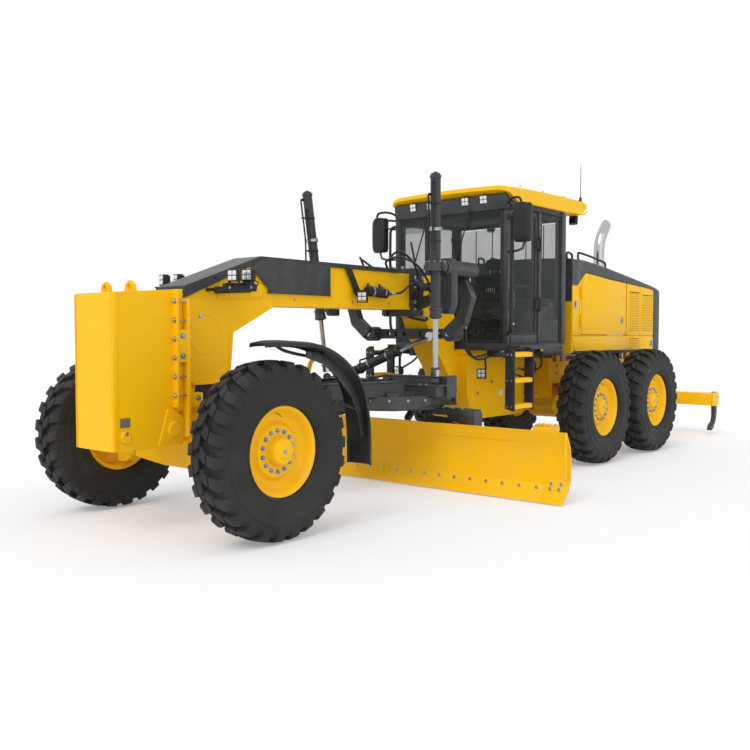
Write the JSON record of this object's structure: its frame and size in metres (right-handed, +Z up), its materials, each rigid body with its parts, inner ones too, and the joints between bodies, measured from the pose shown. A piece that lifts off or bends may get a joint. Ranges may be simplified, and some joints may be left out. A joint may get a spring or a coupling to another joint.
{
  "type": "motor grader",
  "caption": "Articulated motor grader with a front push block, leaning front wheels, a square blade under its gooseneck, a glazed cab and a rear ripper.",
  "frame": {"origin": "on the ground under the middle of the machine's outline", "axes": "+Z up, -Y towards the push block at the front, +X to the machine's left"},
  "size_m": [4.27, 10.513, 3.7],
  "materials": {
    "yellow_paint": "satin warm yellow machine paint",
    "charcoal_paint": "satin charcoal grey paint",
    "black_plastic": "matt black moulded plastic",
    "tyre_rubber": "matt black rubber with deep block tread",
    "bare_steel": "machined steel",
    "chrome": "polished chrome rods and stack"
  },
  "bodies": {
    "rear": {"rear_frame": "yellow_paint", "rear_axle": "yellow_paint", "engine_block": "bare_steel", "hood_shell": "yellow_paint", "hood_top": "charcoal_paint", "exhaust_stack": "chrome"},
    "front": {"front_frame": "yellow_paint", "beam_cover": "charcoal_paint", "push_block": "yellow_paint", "front_axle": "yellow_paint", "saddle": "charcoal_paint", "cab_floor": "charcoal_paint", "cab_frame": "charcoal_paint", "cab_roof": "yellow_paint", "seat": "black_plastic", "steering_console": "black_plastic"},
    "engine_door_left": {"engine_door_left": "yellow_paint"},
    "engine_door_right": {"engine_door_right": "yellow_paint"},
    "cab_door_left": {"cab_door_left": "charcoal_paint"},
    "cab_door_right": {"cab_door_right": "charcoal_paint"},
    "ripper": {"ripper": "yellow_paint"},
    "ripper_cylinder": {"ripper_cylinder": "charcoal_paint"},
    "ripper_rod": {"ripper_rod": "chrome"},
    "lean_bar": {"lean_bar": "charcoal_paint"},
    "drawbar_ball": {"drawbar_ball": "bare_steel"},
    "drawbar": {"drawbar": "charcoal_paint"},
    "circle": {"circle": "charcoal_paint"},
    "blade_carrier": {"blade_carrier": "charcoal_paint"},
    "blade": {"blade": "yellow_paint"},
    "tip_cylinder": {"tip_cylinder": "charcoal_paint"},
    "tip_rod": {"tip_rod": "chrome"},
    "shift_cylinder": {"shift_cylinder": "charcoal_paint"},
    "shift_rod": {"shift_rod": "chrome"},
    "wheel_mid_left": {"tyre_mid_left": "tyre_rubber", "rim_mid_left": "yellow_paint"},
    "wheel_rear_left": {"tyre_rear_left": "tyre_rubber", "rim_rear_left": "yellow_paint"},
    "wheel_front_left": {"tyre_front_left": "tyre_rubber", "rim_front_left": "yellow_paint"},
    "lean_left": {"lean_bracket_left": "yellow_paint"},
    "knuckle_left": {"knuckle_left": "yellow_paint", "fender_left": "black_plastic"},
    "yoke_left": {"yoke_left": "charcoal_paint"},
    "lift_barrel_left": {"lift_barrel_left": "charcoal_paint"},
    "lift_rod_left": {"lift_rod_left": "chrome"},
    "wheel_mid_right": {"tyre_mid_right": "tyre_rubber", "rim_mid_right": "yellow_paint"},
    "wheel_rear_right": {"tyre_rear_right": "tyre_rubber", "rim_rear_right": "yellow_paint"},
    "wheel_front_right": {"tyre_front_right": "tyre_rubber", "rim_front_right": "yellow_paint"},
    "lean_right": {"lean_bracket_right": "yellow_paint"},
    "knuckle_right": {"knuckle_right": "yellow_paint", "fender_right": "black_plastic"},
    "yoke_right": {"yoke_right": "charcoal_paint"},
    "lift_barrel_right": {"lift_barrel_right": "charcoal_paint"},
    "lift_rod_right": {"lift_rod_right": "chrome"}
  },
  "joints": [
    {"name": "articulation", "type": "hinge", "parent": "rear", "child": "front", "pos_m": [0, 0.8535, 1], "axis": [0, 0, 1], "range_deg": [-20, 20]},
    {"name": "wheel_mid_left", "type": "hinge", "parent": "rear", "child": "wheel_mid_left", "pos_m": [1.0775, 0.9835, 0.695], "axis": [1, 0, 0], "continuous": true},
    {"name": "wheel_rear_left", "type": "hinge", "parent": "rear", "child": "wheel_rear_left", "pos_m": [1.0775, 2.5235, 0.695], "axis": [1, 0, 0], "continuous": true},
    {"name": "wheel_mid_right", "type": "hinge", "parent": "rear", "child": "wheel_mid_right", "pos_m": [-1.0775, 0.9835, 0.695], "axis": [1, 0, 0], "continuous": true},
    {"name": "wheel_rear_right", "type": "hinge", "parent": "rear", "child": "wheel_rear_right", "pos_m": [-1.0775, 2.5235, 0.695], "axis": [1, 0, 0], "continuous": true},
    {"name": "lean", "type": "hinge", "parent": "front", "child": "lean_left", "pos_m": [0.66, -4.4065, 0.59], "axis": [0, 1, 0], "range_deg": [-18, 18]},
    {"name": "lean_right", "type": "hinge", "parent": "front", "child": "lean_right", "pos_m": [-0.66, -4.4065, 0.59], "axis": [0, 1, 0], "range_deg": [-18, 18]},
    {"name": "lean_bar", "type": "slide", "parent": "front", "child": "lean_bar", "axis": [1, 0, 0], "range_m": [-0.0655, 0.0655]},
    {"name": "steering", "type": "hinge", "parent": "lean_left", "child": "knuckle_left", "pos_m": [0.8815, -4.4065, 0.68], "axis": [0, 0, 1], "range_deg": [-45, 45]},
    {"name": "steering_right", "type": "hinge", "parent": "lean_right", "child": "knuckle_right", "pos_m": [-0.8815, -4.4065, 0.68], "axis": [0, 0, 1], "range_deg": [-45, 45]},
    {"name": "wheel_front_left", "type": "hinge", "parent": "knuckle_left", "child": "wheel_front_left", "pos_m": [1.0715, -4.4065, 0.695], "axis": [1, 0, 0], "continuous": true},
    {"name": "wheel_front_right", "type": "hinge", "parent": "knuckle_right", "child": "wheel_front_right", "pos_m": [-1.0715, -4.4065, 0.695], "axis": [1, 0, 0], "continuous": true},
    {"name": "drawbar_swing", "type": "hinge", "parent": "front", "child": "drawbar_ball", "pos_m": [0, -3.9665, 0.95], "axis": [0, 0, -1], "range_deg": [-6.5, 6.5]},
    {"name": "drawbar_lift", "type": "hinge", "parent": "drawbar_ball", "child": "drawbar", "pos_m": [0, -3.9665, 0.95], "axis": [-1, 0, 0], "range_deg": [-9.5, 9.5]},
    {"name": "yoke_left", "type": "hinge", "parent": "front", "child": "yoke_left", "pos_m": [0.823, -1.9665, 2.25], "axis": [0, 1, 0], "range_deg": [-12.5, 12.5]},
    {"name": "lift_tilt_left", "type": "hinge", "parent": "yoke_left", "child": "lift_barrel_left", "pos_m": [0.823, -1.9665, 2.25], "axis": [1, 0, 0], "range_deg": [-7, 7]},
    {"name": "lift_rod_left", "type": "slide", "parent": "lift_barrel_left", "child": "lift_rod_left", "axis": [-0.0619, 0.0872, -0.9943], "range_m": [-0.36, 0.36]},
    {"name": "yoke_right", "type": "hinge", "parent": "front", "child": "yoke_right", "pos_m": [-0.823, -1.9665, 2.25], "axis": [0, 1, 0], "range_deg": [-12.5, 12.5]},
    {"name": "lift_tilt_right", "type": "hinge", "parent": "yoke_right", "child": "lift_barrel_right", "pos_m": [-0.823, -1.9665, 2.25], "axis": [1, 0, 0], "range_deg": [-7, 7]},
    {"name": "lift_rod_right", "type": "slide", "parent": "lift_barrel_right", "child": "lift_rod_right", "axis": [0.0619, 0.0872, -0.9943], "range_m": [-0.36, 0.36]},
    {"name": "shift_tilt", "type": "hinge", "parent": "drawbar", "child": "shift_cylinder", "pos_m": [-0.5, -1.6465, 1.185], "axis": [0, 1, 0], "range_deg": [-22, 22]},
    {"name": "shift_rod", "type": "slide", "parent": "shift_cylinder", "child": "shift_rod", "axis": [0.8892, 0.2354, 0.3923], "range_m": [-0.25, 0.25]},
    {"name": "circle_turn", "type": "hinge", "parent": "drawbar", "child": "circle", "pos_m": [0, -1.7365, 0.915], "axis": [0, 0, 1], "range_deg": [-45, 45]},
    {"name": "blade_tip", "type": "hinge", "parent": "circle", "child": "blade_carrier", "pos_m": [0, -1.4865, 0.4], "axis": [1, 0, 0], "range_deg": [-5, 40]},
    {"name": "blade_shift", "type": "slide", "parent": "blade_carrier", "child": "blade", "axis": [1, 0, 0], "range_m": [-0.6, 0.6]},
    {"name": "tip_tilt", "type": "hinge", "parent": "circle", "child": "tip_cylinder", "pos_m": [0, -1.2165, 0.8], "axis": [1, 0, 0], "range_deg": [-12.52, 2.44]},
    {"name": "tip_rod", "type": "slide", "parent": "tip_cylinder", "child": "tip_rod", "axis": [0, -0.7152, -0.6989], "range_m": [-0.0187, 0.1146]},
    {"name": "ripper_lift", "type": "hinge", "parent": "rear", "child": "ripper", "pos_m": [0, 3.8135, 0.72], "axis": [1, 0, 0], "range_deg": [-12, 28]},
    {"name": "ripper_tilt", "type": "hinge", "parent": "rear", "child": "ripper_cylinder", "pos_m": [0, 3.8035, 1.16], "axis": [1, 0, 0], "range_deg": [-12.47, 27.76]},
    {"name": "ripper_rod", "type": "slide", "parent": "ripper_cylinder", "child": "ripper_rod", "axis": [0, 0.9523, -0.3051], "range_m": [-0.2169, 0.0958]},
    {"name": "cab_door_left", "type": "hinge", "parent": "front", "child": "cab_door_left", "pos_m": [0.812, 0.0835, 2.25], "axis": [0, 0, 1], "range_deg": [0, 75]},
    {"name": "engine_door_left", "type": "hinge", "parent": "rear", "child": "engine_door_left", "pos_m": [0.772, 1.2135, 1.935], "axis": [0, 0, -1], "range_deg": [0, 80]},
    {"name": "cab_door_right", "type": "hinge", "parent": "front", "child": "cab_door_right", "pos_m": [-0.812, 0.0835, 2.25], "axis": [0, 0, -1], "range_deg": [0, 75]},
    {"name": "engine_door_right", "type": "hinge", "parent": "rear", "child": "engine_door_right", "pos_m": [-0.772, 1.2135, 1.935], "axis": [0, 0, 1], "range_deg": [0, 80]}
  ],
  "couplings": [
    {"joint": "lean_right", "follows": "lean", "ratio": 1},
    {"joint": "lean_bar", "follows": "lean", "m_per_rad": 0.2066},
    {"joint": "steering_right", "follows": "steering", "ratio": 1},
    {"joint": "yoke_left", "follows": "drawbar_swing", "ratio": -1.8},
    {"joint": "lift_tilt_left", "follows": "drawbar_swing", "ratio": -0.7},
    {"joint": "lift_rod_left", "follows": "drawbar_lift", "m_per_rad": 2.13},
    {"joint": "yoke_right", "follows": "drawbar_swing", "ratio": -1.8},
    {"joint": "lift_tilt_right", "follows": "drawbar_swing", "ratio": 0.7},
    {"joint": "lift_rod_right", "follows": "drawbar_lift", "m_per_rad": 2.13},
    {"joint": "shift_tilt", "follows": "drawbar_lift", "ratio": -2.2},
    {"joint": "shift_rod", "follows": "drawbar_swing", "m_per_rad": -2.1},
    {"joint": "tip_tilt", "follows": "blade_tip", "ratio": -0.288},
    {"joint": "tip_rod", "follows": "blade_tip", "m_per_rad": 0.157},
    {"joint": "ripper_tilt", "follows": "ripper_lift", "ratio": 0.9557},
    {"joint": "ripper_rod", "follows": "ripper_lift", "m_per_rad": -0.4336}
  ]
}
